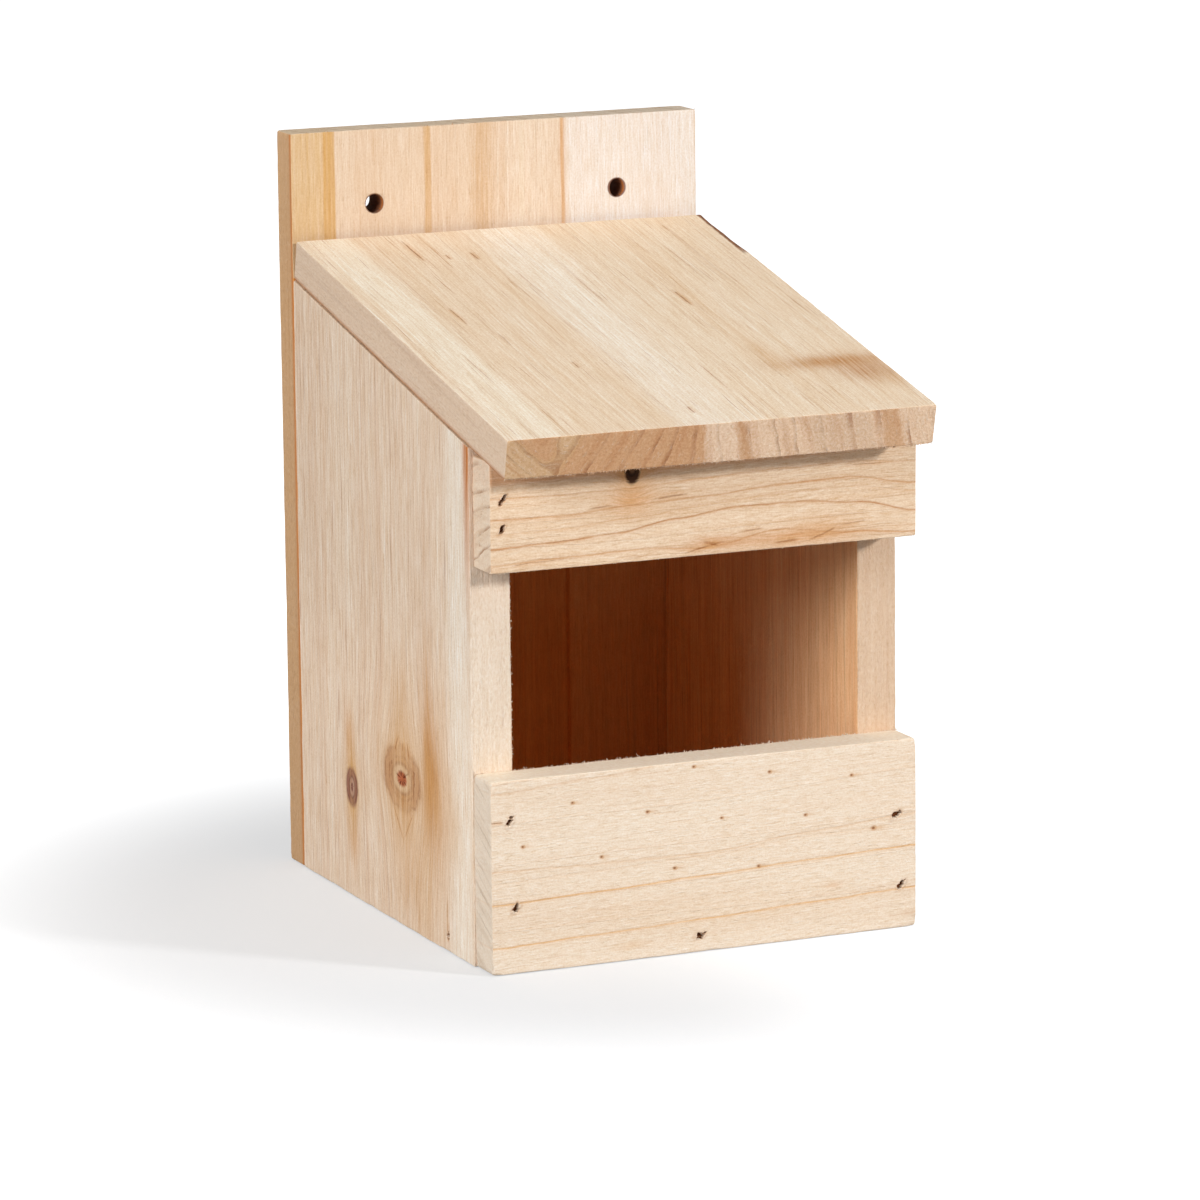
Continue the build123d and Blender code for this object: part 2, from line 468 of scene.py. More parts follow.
class Shade:
    """One material's node tree, written as arithmetic."""

    def __init__(self, name):
        self.material = bpy.data.materials.new(name)
        self.material.use_nodes = True
        self.nodes = self.material.node_tree.nodes
        self.links = self.material.node_tree.links
        self.nodes.clear()
        output = self.nodes.new("ShaderNodeOutputMaterial")
        self.shader = self.nodes.new("ShaderNodeBsdfPrincipled")
        self.links.new(self.shader.outputs[0], output.inputs[0])

    def feed(self, socket, value):
        if isinstance(value, Value):
            self.links.new(value.socket, socket)
        else:
            socket.default_value = value

    def math(self, operation, *values):
        node = self.nodes.new("ShaderNodeMath")
        node.operation = operation
        for socket, value in zip(node.inputs, values):
            self.feed(socket, value)
        return Value(self, node.outputs[0])

    def vector_math(self, operation, first, second):
        node = self.nodes.new("ShaderNodeVectorMath")
        node.operation = operation
        self.feed(node.inputs[0], first)
        self.feed(node.inputs[1], second)
        return node

    def along(self, vector, direction):
        """A vector's share along a direction."""
        return Value(self, self.vector_math("DOT_PRODUCT", vector, tuple(direction)).outputs["Value"])

    def position(self):
        return Value(self, self.nodes.new("ShaderNodeTexCoord").outputs["Object"])

    def normal(self):
        return Value(self, self.nodes.new("ShaderNodeNewGeometry").outputs["Normal"])

    def step(self, value, low, high):
        """0 below low, 1 above high, smooth between; the other way round where low is above high."""
        node = self.nodes.new("ShaderNodeMapRange")
        node.interpolation_type = "SMOOTHSTEP"
        ends = (low, high, 0.0, 1.0) if low < high else (high, low, 1.0, 0.0)
        self.feed(node.inputs[0], value)
        for socket, end in zip(node.inputs[1:5], ends):
            socket.default_value = end
        return Value(self, node.outputs[0])

    def noise(self, x, y, z, detail=2.0, roughness=0.5):
        """Smooth noise from -1 to 1 over three coordinates."""
        joined = self.nodes.new("ShaderNodeCombineXYZ")
        for socket, value in zip(joined.inputs, (x, y, z)):
            self.feed(socket, value)
        node = self.nodes.new("ShaderNodeTexNoise")
        node.inputs["Scale"].default_value = 1.0
        node.inputs["Detail"].default_value = detail
        node.inputs["Roughness"].default_value = roughness
        self.links.new(joined.outputs[0], node.inputs["Vector"])
        return Value(self, node.outputs[0]) * 2.0 - 1.0

    def mix(self, share, first, second):
        """Two colours by a share, each an everyday 0 to 255 colour or a Value."""
        node = self.nodes.new("ShaderNodeMix")
        node.data_type = "RGBA"
        self.feed(node.inputs[0], share)
        for socket, colour in zip(node.inputs[6:8], (first, second)):
            self.feed(socket, colour if isinstance(colour, Value) else as_linear(*colour))
        return Value(self, node.outputs[2])

    def multiply(self, colour, tint):
        """A colour times another colour."""
        return Value(self, self.vector_math("MULTIPLY", colour, tint).outputs["Vector"])

    def brighten(self, colour, factor):
        """A colour times a number."""
        node = self.nodes.new("ShaderNodeVectorMath")
        node.operation = "SCALE"
        self.feed(node.inputs[0], colour)
        self.feed(node.inputs["Scale"], factor)
        return Value(self, node.outputs[0])

    def tinge(self, colour, factor):
        """A colour times a number, where its darker parts also turn warmer, as dense wood does."""
        node = self.nodes.new("ShaderNodeCombineXYZ")
        for socket, power in zip(node.inputs, (0.55, 1.0, 1.6)):
            self.feed(socket, factor ** power)
        return self.multiply(colour, Value(self, node.outputs[0]))

    def bump(self, height, distance, strength):
        node = self.nodes.new("ShaderNodeBump")
        node.inputs["Strength"].default_value = strength
        node.inputs["Distance"].default_value = distance
        self.feed(node.inputs["Height"], height)
        return Value(self, node.outputs[0])


# ---- wood

WOOD_ROUGHNESS, WOOD_SPECULAR, WOOD_RELIEF = 0.66, 0.12, 0.00016
STEEL_ROUGHNESS, STEEL_SPECULAR, STEEL_RELIEF = 0.6, 0.1, 0.00004


class Knot:
    """A branch cut across: its middle on the face, and half sizes of its outline, eye and core, in mm."""

    def __init__(self, middle, outer, eye, core, tones, stain, rings, push, line, solid):
        (self.a, self.b), (self.half_a, self.half_b) = middle, outer
        self.eye_size, self.core_size = eye, core
        self.whorl, self.rim, self.eye, self.core = tones
        self.stain, self.rings, self.push, self.line, self.solid = stain, rings, push, line, solid


class Grain:
    """The coordinates that a wood material is painted in: board places, and places that follow the grain."""

    def __init__(self, shade, board, look):
        self.shade, self.board = shade, board
        place, normal = shade.position(), shade.normal()
        a, b, c = (shade.along(place, axis / MM) - float(axis @ board.corner) for axis in board.axes)
        self.a, self.b, self.c = a, b, c
        self.facing_a, self.facing_b, self.facing_c = (shade.along(normal, axis) for axis in board.axes)
        wander = shade.noise(a / 95.0, b / 17.0, c / 17.0, 1.0) * look["wander"]
        ripple = shade.noise(a / 20.0 + 5.0, b / 4.0, c / 4.0, 2.0) * look["ripple"]
        level = b + wander + ripple + a * look["slant"]
        for knot in look["knots"]:
            near = self.near(knot.a, knot.b, knot.half_a * 2.1, knot.half_b * 1.5)
            level = level - near * (b - knot.b) * knot.push
        self.level = level
        # Noises that every mark on the face shares
        self.wobble = shade.noise(a / 6.0, b / 5.0, 2.0, 2.0)
        self.frayed = shade.noise(a / 2.5, b / 2.5, 1.0, 2.0)
        self.patchy = shade.noise(a / 1.6, b / 0.5, 5.0, 2.0)
        self.uneven = shade.noise(a / 16.0, b / 5.0, 4.0, 2.0)
        self.streaky = shade.noise(a / 23.0, level / 0.65, 3.0, 3.0, 0.6)
        self.ragged = shade.noise(a / 4.5, b / 4.5, 8.0, 3.0, 0.6)
        self.colour, self.height = look["pale"], 0.0

    def paint(self, share, tone):
        """Lays a colour over what is painted so far, by a share."""
        self.colour = self.shade.mix(share, self.colour, tone)

    def near(self, at_a, at_b, reach_a, reach_b):
        """1 at a place on the face, falling smoothly away over the reaches."""
        away_a, away_b = (self.a - at_a) / reach_a, (self.b - at_b) / reach_b
        return self.shade.math("EXPONENT", (away_a * away_a + away_b * away_b) * -1.0)

    def oval(self, at_a, at_b, half_a, half_b):
        """Distance from a place, 1 on the oval with those half sizes."""
        away_a, away_b = (self.a - at_a) / half_a, (self.b - at_b) / half_b
        return (away_a * away_a + away_b * away_b) ** 0.5


def paint_knot(grain, knot):
    """Adds a knot: stain, a streaky whorl that is darkest at both sides, pale eye and a checked core."""
    shade, a, b = grain.shade, grain.a, grain.b
    ragged, streaks, patchy = grain.ragged, grain.streaky, grain.patchy
    bend = ragged * 0.10 + grain.wobble * 0.08
    away = grain.oval(knot.a, knot.b, knot.half_a, knot.half_b) + bend
    tail = grain.near(knot.a, knot.b, knot.half_a * 2.6, knot.half_b * 0.8)
    sides = shade.step(abs((b - knot.b) / knot.half_b), 0.15, 0.75)
    stain = (shade.math("EXPONENT", away * away * -0.5) * 0.6 + tail * 0.7) * knot.stain
    grain.paint(stain * (0.8 + 0.7 * streaks), KNOT_STAIN)
    whorl = shade.step(away + streaks * 0.22, 1.15, 0.8)
    grain.paint(whorl * (knot.solid + 0.3 * sides + 0.55 * streaks), knot.whorl)
    flow = shade.math("SINE", away * (math.tau * knot.rings) + ragged * 2.0 + grain.wobble * 1.5)
    broken = shade.step(patchy + streaks, -0.35, 0.45)
    lines = whorl * shade.step(flow, 0.0, 0.95) * (0.35 + 0.65 * sides) * broken
    grain.paint(lines * knot.line, knot.rim)
    eye_away = grain.oval(knot.a, knot.b, *knot.eye_size) + bend * 0.7
    eye = shade.step(eye_away, 1.2, 0.7)
    grain.paint(eye * 0.75, knot.eye)
    eye_line = shade.math("EXPONENT", ((eye_away - 1.0) / 0.13) ** 2.0 * -1.0)
    grain.paint(eye_line * (0.28 + 0.6 * streaks), knot.rim)
    turned = shade.math("ARCTAN2", (b - knot.b) / knot.half_b, (a - knot.a) / knot.half_a)
    rays = shade.noise(turned * 3.2, away * 1.5, knot.a, 2.0, 0.6)
    heart = grain.oval(knot.a, knot.b, *knot.core_size) + patchy * 0.2
    core = shade.step(heart, 1.3, 0.75)
    grain.paint(core * (0.9 + rays * 0.3), knot.core)
    checks = shade.step(rays, 0.0, 0.25) * core * shade.step(heart, 0.25, 0.5)
    grain.paint(checks * 0.85, CHECK_TONE)
    spokes = shade.step(rays, 0.2, 0.45) * eye * (1.0 - core)
    grain.paint(spokes * 0.45, knot.rim)
    grain.height -= checks * 1.5 + lines * 0.5 + spokes * 0.4


def paint_pin(grain, a, b, size):
    """Adds a pin knot: a small tan eye with a dark speck, drawn out a little along the grain."""
    shade = grain.shade
    away = grain.oval(a, b, size * 1.25, size)
    trail = grain.near(a + size * 1.4, b, size * 2.6, size * 0.7)
    grain.paint(trail * 0.4, (214, 165, 112))
    grain.paint(shade.step(away, 1.25, 0.55) * 0.6, (200, 146, 94))
    speck = shade.step(grain.oval(a - size * 0.2, b, size * 0.55, size * 0.4), 1.3, 0.6)
    grain.paint(speck * 0.75, (130, 74, 38))
    grain.height -= speck * 0.8


def paint_resin(grain, streak):
    """Adds a dark resin streak: start and end along the grain, place across, width, lean and strength."""
    shade = grain.shade
    start, end, b, width, lean, strength = streak
    middle, half = (start + end) / 2, (end - start) / 2
    along = (grain.a - middle) / half
    taper = shade.step(abs(along) + grain.frayed * 0.3, 1.0, 0.35)
    off = abs(grain.b - b - (grain.a - middle) * lean + grain.wobble * 0.3)
    line = shade.step(off / width, 1.0, 0.2) * taper * (0.65 + grain.patchy * 0.6) * strength
    glow = shade.step(off / (width * 4.5), 1.0, 0.0) * taper * 0.45 * strength
    grain.paint(glow, (212, 158, 100))
    grain.paint(line, (146, 84, 42))
    grain.height -= line * 0.6


def paint_line(grain, line):
    """Adds one growth line that passes through places spread evenly along the grain."""
    shade = grain.shade
    length, places, width, strength, tone = line
    gap = length / (len(places) - 1)
    path = places[0] + grain.wobble * 0.22
    for number, (before, after) in enumerate(zip(places, places[1:])):
        path = path + shade.step(grain.a, number * gap, (number + 1) * gap) * (after - before)
    off = grain.b - path
    uneven = 0.7 + grain.uneven * 0.5
    core = shade.math("EXPONENT", (off / width) ** 2.0 * -1.0)
    soft = shade.step(off, width * 6.0, 0.0) * shade.step(off, -width * 0.6, 0.0)
    grain.paint((core * 0.85 + soft * 0.22) * uneven * strength, tone)
    grain.height -= core * 0.3


def paint_pit(grain, pit):
    """Adds a nail mark: lifted pale fibres round it, brown walls that darken with depth (iron stain, and
    painted shade deep down), and a bruise.
    """
    shade = grain.shade
    turn, lift = math.cos(pit.tilt), math.sin(pit.tilt)
    away_a, away_b = grain.a - float(pit.centre[0]), grain.b - float(pit.centre[1])
    along = (away_a * turn + away_b * lift) / pit.long
    across = (away_b * turn - away_a * lift) / pit.short
    away = (along * along + across * across) ** 0.5
    deep = grain.c if pit.face == "outer" else float(grain.board.size[2]) - grain.c
    here = shade.step(away, 2.4, 1.9)
    grain.paint(here * shade.step(deep, -0.03, -0.10) * 0.7, FIBRE_TONE)
    grain.paint(here * shade.step(deep + grain.patchy * 0.08, 0.07, 0.16) * 0.85, PIT_TONE)
    # Darker deeper in the pit: iron stain and painted shade
    grain.paint(here * shade.step(deep, 0.16, 0.34) * 0.96, PIT_STAIN_AND_SHADE)
    grain.paint(shade.step(away + grain.patchy * 0.5, 1.9, 1.2) * 0.3, (196, 146, 100))


def paint_faces(grain, look):
    """Adds what lies at known places on the face."""
    shade, level = grain.shade, grain.level
    for low, high, tone, share, blur in look["bands"]:
        inside = shade.step(level, low - blur, low + blur) * shade.step(level, high + blur, high - blur)
        grain.paint(inside * (0.75 + grain.streaky * 0.45) * share, tone)
    for at_a, at_b, reach_a, reach_b, tone, share in look["stains"]:
        inside = grain.near(at_a, at_b, reach_a, reach_b)
        grain.paint(inside * (0.65 + grain.streaky * 0.75) * share, tone)
    for line in look["lines"]:
        paint_line(grain, line)
    for knot in look["knots"]:
        paint_knot(grain, knot)
    for pin in look["pins"]:
        paint_pin(grain, *pin)
    for streak in look["resin"]:
        paint_resin(grain, streak)
    for pit in grain.board.pits:
        paint_pit(grain, pit)


def paint_edge(grain, look, seed):
    """Makes the sawn long edges rougher and flecked."""
    shade, a, c = grain.shade, grain.a, grain.c
    sawn = shade.step(abs(grain.facing_b), 0.55, 0.85)
    fuzz = shade.noise(a / 1.4, grain.b / 0.6, c / 0.6 + seed, 3.0, 0.8)
    dark = shade.step(shade.noise(a / 2.0, c / 0.34 + seed, grain.b / 9.0, 2.0, 0.6), 0.1, 0.45)
    light = shade.step(shade.noise(a / 1.6 + 9.0, c / 0.36, seed, 2.0, 0.6), 0.15, 0.5)
    lengthwise = shade.noise(a / 60.0, c / 1.6, seed + 2.0, 2.0)
    edge = shade.mix(look["edge_share"], grain.colour, look["edge"])
    edge = shade.mix(shade.step(lengthwise, 0.0, 0.7) * 0.35, edge, look["edge_dark"])
    edge = shade.mix(dark * 0.28, edge, look["edge_dark"])
    edge = shade.mix(light * 0.22, edge, FIBRE_TONE)
    edge = shade.tinge(edge, 1.0 + fuzz * look["edge_fuzz"])
    grain.paint(sawn, edge)
    grain.height += sawn * (fuzz * 0.9 - dark * 0.6 + light * 0.4)
    return sawn


def paint_end(grain, look, seed):
    """Makes end grain: growth lines that fan across the board, open pores and torn pale fibres."""
    shade, b, c = grain.shade, grain.b, grain.c
    end = shade.step(abs(grain.facing_a), 0.55, 0.85)
    lean, changes = look["end_lean"]
    for low, high, change in changes:
        lean = lean + shade.step(b, low, high) * change
    section = b + c * lean + shade.noise(b / 5.0, c / 5.0, seed, 3.0, 0.6) * look["end_wander"]
    spacing = look["end_spacing"]
    turn = section / spacing + shade.noise(section / (spacing * 2.6), seed, 1.0, 2.0) * 0.9
    part = shade.math("FRACT", turn)
    late = shade.step(part, 0.72, 0.97) * shade.step(part, 1.0, 0.975)
    bold = shade.step(shade.noise(shade.math("FLOOR", turn) * 0.9, c / 9.0, seed, 2.0), -0.35, 0.45)
    bands = shade.noise(section / 3.2, seed + 3.0, c / 30.0, 2.0)
    hatch = shade.noise(section / 0.42, c / 5.0, seed, 3.0, 0.65)
    torn = shade.step(shade.noise(section / 0.7, c / 2.2 + seed, 5.0, 3.0, 0.75), 0.1, 0.4)
    pores = shade.noise(b / 0.7, c / 0.7, seed, 3.0, 0.8)
    tone = shade.mix(look["end_share"], grain.colour, look["end"])
    for low, high, band_tone, share in look["end_bands"]:
        inside = shade.step(section, low, low + 2.5) * shade.step(section, high, high - 2.5)
        tone = shade.mix(inside * share, tone, band_tone)
    tone = shade.mix(shade.step(bands, -0.1, 0.55) * 0.5, tone, look["end_late"])
    tone = shade.mix(late * bold * look["end_strength"], tone, look["end_line"])
    tone = shade.mix(shade.step(hatch, 0.1, 0.6) * look["end_hatch"], tone, look["end_late"])
    tone = shade.mix(torn * look["end_torn"], tone, FIBRE_TONE)
    tone = shade.tinge(tone, 1.0 + pores * look["end_pores"])
    grain.paint(end, tone)
    grain.height += end * (pores * 0.9 + torn * 0.9 - late * bold * 0.7 + hatch * 0.4)
    return end


# What a look says where it doesn't say otherwise
PLAIN_LOOK = dict(
    wander=1.5, ripple=0.35, slant=0, edge_share=0.6, edge_fuzz=0.3, end_wander=0.7, end_share=0.75,
    end_strength=0.6, end_hatch=0.3, end_torn=0.25, end_pores=0.14, seed=0, band_width=7,
    streak_width=1.25, gauge=0.42, fibre_width=0.45, fibre_length=5, streak=0.4, pale_streak=0.3,
    thread=0.2, fibre=0.21, pores=0.09, speckle=0.14, knots=(), bands=(), stains=(), lines=(), pins=(),
    resin=(), end_bands=(), bores=(),
)


def wood(name, board, look):
    """Bare sawn softwood, painted through the whole board so that faces, edges and ends agree."""
    look = PLAIN_LOOK | look
    shade = Shade(name)
    grain = Grain(shade, board, look)
    a, b, c, level = grain.a, grain.b, grain.c, grain.level
    seed = look["seed"]

    # Growth rings cross the board at an angle, each with a thin dark late edge, at uneven spacing
    spacing, lean, offset, width, strength = look["rings"]
    through = level * math.cos(math.radians(lean)) + c * math.sin(math.radians(lean))
    turn = through / spacing + offset + shade.noise(a / 400.0, through / (spacing * 2.3), seed, 2.0) * 1.1
    year = shade.math("FLOOR", turn)
    part = shade.math("FRACT", turn)
    late = shade.step(part, 1.0 - width, 0.985) * shade.step(part, 1.0, 0.985)
    soft_late = shade.step(part, 1.0 - width * 5.0, 1.0)
    boldness = shade.step(shade.noise(year * 0.83 + seed, a / 60.0, seed, 2.0), -0.35, 0.5)

    # Broad tones, long streaks, thin dark threads, fine fibres, short pores and a speckle
    band = shade.noise(a / 260.0, through / look["band_width"], seed, 3.0, 0.6)
    wide = look["streak_width"]
    streak = shade.noise(a / 75.0, level / wide, c / wide + seed, 3.0, 0.65)
    pale_streak = shade.noise(a / 55.0, level / (wide * 0.64) + 7.0, c / (wide * 0.64) + seed, 3.0, 0.6)
    gauge = look["gauge"]
    thread = shade.step(shade.noise(a / 30.0, level / gauge, c / gauge + seed, 2.0, 0.6), 0.2, 0.5)
    fine = look["fibre_width"]
    fibre = shade.noise(a / look["fibre_length"], level / fine, c / fine, 3.0, 0.75)
    pores = shade.step(shade.noise(a / 3.0, level / 0.34, c / 0.34 + seed, 2.0), 0.2, 0.5)
    speckle = shade.noise(a / 0.6, b / 0.5, c / 0.5, 2.0, 0.75)
    mottle = shade.noise(a / 9.0, b / 6.0, c / 6.0 + seed, 3.0, 0.6)
    grain.paint(shade.step(band + mottle * 0.25, -0.55, 0.55), look["mid"])
    grain.paint(shade.step(streak + band * 0.3, -0.1, 0.65) * look["streak"], look["warm"])
    grain.paint(shade.step(pale_streak, 0.05, 0.6) * look["pale_streak"], look["light"])
    grain.paint(thread * look["thread"], look["late"])
    line = (late * 0.9 + soft_late * 0.22) * (0.08 + 0.92 * boldness) * strength
    grain.paint(line, look["late"])
    grain.height = fibre * 0.45 + streak * 0.25 + speckle * 0.3 + late * 0.35 - pores * 0.5 - thread * 0.25
    paint_faces(grain, look)
    grainy = 1.0 + fibre * look["fibre"] - pores * look["pores"]
    grain.colour = shade.tinge(grain.colour, grainy + speckle * look["speckle"])
    # Painted light: the board's lower end is painted paler
    if "painted_foot_light" in look:
        grain.colour = shade.brighten(grain.colour, 1.0 + shade.step(a, 95.0, 50.0) * look["painted_foot_light"])
    # Painted shade on the faces toward the nest, and painted light on the right side's inner face
    if "inside_light_and_shade" in look:
        paint_inside_light_and_shade(grain, look["inside_light_and_shade"])

    sawn = paint_edge(grain, look, seed)
    end = paint_end(grain, look, seed)
    # Painted shade: the walls of the hanging holes are painted dark brown
    for at_a, at_b, radius in look["bores"]:
        grain.paint(shade.step(grain.oval(at_a, at_b, radius, radius), 1.16, 1.02) * 0.85, BORE_PAINTED_SHADE)
    if "bark" in look:
        width, thickness = float(board.size[1]), float(board.size[2])
        rim = shade.step(a + grain.wobble * 4.0, look["bark"], look["bark"] - 7.0)
        rim = rim * shade.step(b + grain.frayed * 0.3, width - 2.1, width - 1.6)
        rim = rim * shade.step(c + grain.frayed * 0.3, thickness - 1.8, thickness - 1.1)
        grain.paint(rim * 0.9, shade.mix(shade.step(grain.patchy, -0.3, 0.3), BARK_TONE, PIT_TONE))
    # Painted shadow: a dark line along the sawn edges near one face, where this board meets the next one
    if "painted_gap_shadow" in look:
        at_c, reach, tone = look["painted_gap_shadow"]
        glow = shade.math("EXPONENT", ((c - at_c) / reach) ** 2.0 * -1.0) * sawn
        grain.paint(glow * (0.75 + grain.streaky * 0.3), tone)

    shade.feed(shade.shader.inputs["Base Color"], grain.colour)
    rough = WOOD_ROUGHNESS + fibre * 0.05 + sawn * 0.1 + end * 0.12 - late * 0.08
    shade.feed(shade.shader.inputs["Roughness"], rough)
    shade.shader.inputs["Specular IOR Level"].default_value = WOOD_SPECULAR
    shade.feed(shade.shader.inputs["Normal"], shade.bump(grain.height, WOOD_RELIEF, 0.8))
    return shade.material


def paint_inside_light_and_shade(grain, inside_light_and_shade):
    """Paints shade or light over the side that faces the nest: a darker, warmer tint as painted shade, or a
    paler one as painted light, and gives that side stripes and threads of its own.
    """
    shade = grain.shade
    tint, share, sign, low_a, high_a = inside_light_and_shade
    facing = shade.step(grain.facing_c * sign, 0.5, 0.8)
    inside = shade.step(grain.a, low_a - 0.4, low_a) * shade.step(grain.a, high_a + 0.4, high_a)
    stripes = shade.noise(grain.a / 120.0, grain.level / 2.2, 6.0, 3.0, 0.65)
    threads = shade.step(shade.noise(grain.a / 90.0, grain.level / 0.8, 9.0, 2.0), 0.25, 0.5)
    dark = shade.brighten(shade.multiply(grain.colour, tint), 1.0 + stripes * 0.22 - threads * 0.16)
    grain.paint(facing * inside * share, dark)


def dull_steel(name):
    """A brad's plain wire: dark, a little rusty, faintly drawn along its length."""
    shade = Shade(name)
    place = shade.position()
    x, y, z = (shade.along(place, axis / MM) for axis in (RIGHTWARD, REARWARD, UPWARD))
    patch = shade.noise(x / 0.7, y / 0.7, z / 0.7, 3.0, 0.65)
    colour = shade.mix(shade.step(patch, -0.2, 0.5), (84, 46, 24), (118, 66, 32))
    shade.feed(shade.shader.inputs["Base Color"], colour)
    shade.feed(shade.shader.inputs["Roughness"], STEEL_ROUGHNESS + patch * 0.15)
    shade.shader.inputs["Specular IOR Level"].default_value = STEEL_SPECULAR
    shade.feed(shade.shader.inputs["Normal"], shade.bump(patch, STEEL_RELIEF, 0.6))
    return shade.material


# ---- nail marks and holes

mark_nails(RAIL, "upper_rail_nails_left", "outer", (-52, -58), 1.5, 0.6)
mark_nails(RAIL, "upper_rail_nail_right", "outer", (-48,), 1.4, 0.65)
mark_nails(LOWER_PANEL, "lower_panel_nails_left", "outer", (-62, -50), 1.5, 0.85)
mark_nails(LOWER_PANEL, "lower_panel_nails_right", "outer", (-38, -42), 1.6, 0.75)
mark_nails(LOWER_PANEL, "lower_panel_floor_nail", "outer", (-8,), 1.4, 0.8)
mark_nails(LEFT_SIDE, "left_side_floor_nail", "outer", (4,), 1.7, 0.7)
mark_nails(RIGHT_SIDE, "right_side_floor_nail", "outer", (-6,), 1.7, 0.7)
mark_nails(BACK, "back_board_nails_left", "rear", (5, -8, 12), 1.6, 0.75)
mark_nails(BACK, "back_board_nails_right", "rear", (-4, 9, 3), 1.6, 0.75)
mark_nails(BACK, "back_board_floor_nail", "rear", (80,), 1.6, 0.75)
mark_nails(BACK, "roof_nails", "rear", (78, 95, 84), 1.6, 0.9)

# The hanging holes are a bolt pattern in the record
holes = next(mount for mount in frame["record"]["mounts"] if mount["name"] == "hanging_holes")
HOLE_SPACING = holes["dims"]["spacing_x_mm"]
HOLE_RADIUS = holes["dims"]["hole_r_mm"]
HOLE_MIDDLE = np.array(holes["pos_m"]) / MM
HOLE_PLACES = [HOLE_MIDDLE + RIGHTWARD * HOLE_SPACING * half for half in (-0.5, 0.5)]


# ---- what each board looks like

SIDE_TOP = SIDE_HIGH[2]
# Painted shade and painted light inside the box: PAINTED_SHADE_TINT darkens and warms the faces toward the
# nest, PAINTED_LIGHT_TINT brightens the right side's inner face
PAINTED_SHADE_TINT = (1.0, 0.585, 0.22)
PAINTED_LIGHT_TINT = (1.22, 0.97, 0.70)
KNOT_STAIN = (206, 160, 106)
CHECK_TONE = (92, 42, 22)
PIT_TONE = (150, 90, 46)
# Pit bottoms: iron stain with painted shade over it
PIT_STAIN_AND_SHADE = (84, 38, 14)
# Painted shade inside the hanging holes
BORE_PAINTED_SHADE = (116, 60, 28)
FIBRE_TONE = (246, 234, 216)
BARK_TONE = (84, 42, 22)

# A look says how a board is painted, in the board's own a and b, in mm, and in 0 to 255 colours.
# rings: spacing, angle, offset, share of dark late wood, strength. bands: from b, to b, colour, share, blur.
# lines: length, places across at even steps, width, strength, colour. pins: a, b, size.
# stains: a, b, reach along, reach across, colour, share. resin: from a, to a, b, width, lean, strength.
# end_lean: lean of the end grain, and its changes (from b, to b, change). end_bands: from, to, colour, share.
# inner: painted shade or painted light on the face toward the nest: tint, share, the way it faces, from a, to
# a. seam: a painted shadow line along a joint: place in the thickness, reach, colour.
# bores: a, b, radius; their walls are painted dark, a painted shade. bark: its length. foot: how much paler
# the lower end is painted, a painted light.

LOWER_LOOK = dict(
    inside_light_and_shade=(PAINTED_SHADE_TINT, 0.9, 1, 0, LOWER_PANEL.size[0]),
    seed=3, slant=0.03, wander=1.1, ripple=0.25, band_width=9,
    rings=(4.45, 65, -0.07, 0.055, 0.25),
    pale=(244, 226, 204), mid=(238, 215, 190), warm=(231, 201, 171), light=(250, 237, 219),
    late=(212, 160, 108), streak=0.5, pale_streak=0.55, thread=0.32, fibre_length=3.2, fibre=0.34,
    speckle=0.22,
    edge=(255, 241, 219), edge_dark=(228, 200, 166), edge_share=0.9,
    end=(242, 225, 205), end_late=(208, 182, 154), end_line=(176, 146, 116),
    end_lean=(0.55, ()), end_spacing=3.4, end_strength=0.45, end_hatch=0.55, end_torn=0.4, end_pores=0.26,
    lines=[(119.6, (32, 31.2, 30.2, 29.2, 28.4), 0.24, 0.8, (226, 166, 92)),
           (119.6, (43.2, 42.4, 41.6, 40.5, 39.6), 0.26, 0.8, (226, 166, 92)),
           (119.6, (23.2, 24, 24.3, 21.8, 19.8), 0.26, 0.45, (214, 164, 112)),
           (119.6, (3.2, 1.4, -1.5, -3, -4), 0.3, 0.5, (208, 156, 104)),
           (119.6, (26.5, 25.8, 24.9, 23, 22.4), 0.3, 0.22, (214, 164, 112))],
    pins=[(22.5, 7.4, 0.55), (43.3, 11.9, 0.65), (56.3, 1.4, 0.6), (77.7, 4.9, 0.6), (101.1, 8.1, 0.6),
          (64.1, 15.6, 0.55), (87.9, 17.3, 0.6), (107.4, 22.8, 0.8), (8.7, 17.4, 0.6), (30.4, 22.3, 0.6),
          (50.8, 27.4, 0.65), (74.5, 29.4, 0.6)],
    stains=[(95.6, 36.7, 3, 0.9, (222, 170, 120), 0.6), (38.5, 46.3, 4, 1, (224, 180, 130), 0.6),
            (118, 46.4, 2.5, 1, (210, 165, 120), 0.6), (60, 40, 40, 6, (228, 194, 156), 0.3)],
    resin=[(-0.5, 4, 10.6, 0.26, 0, 0.85)],
)

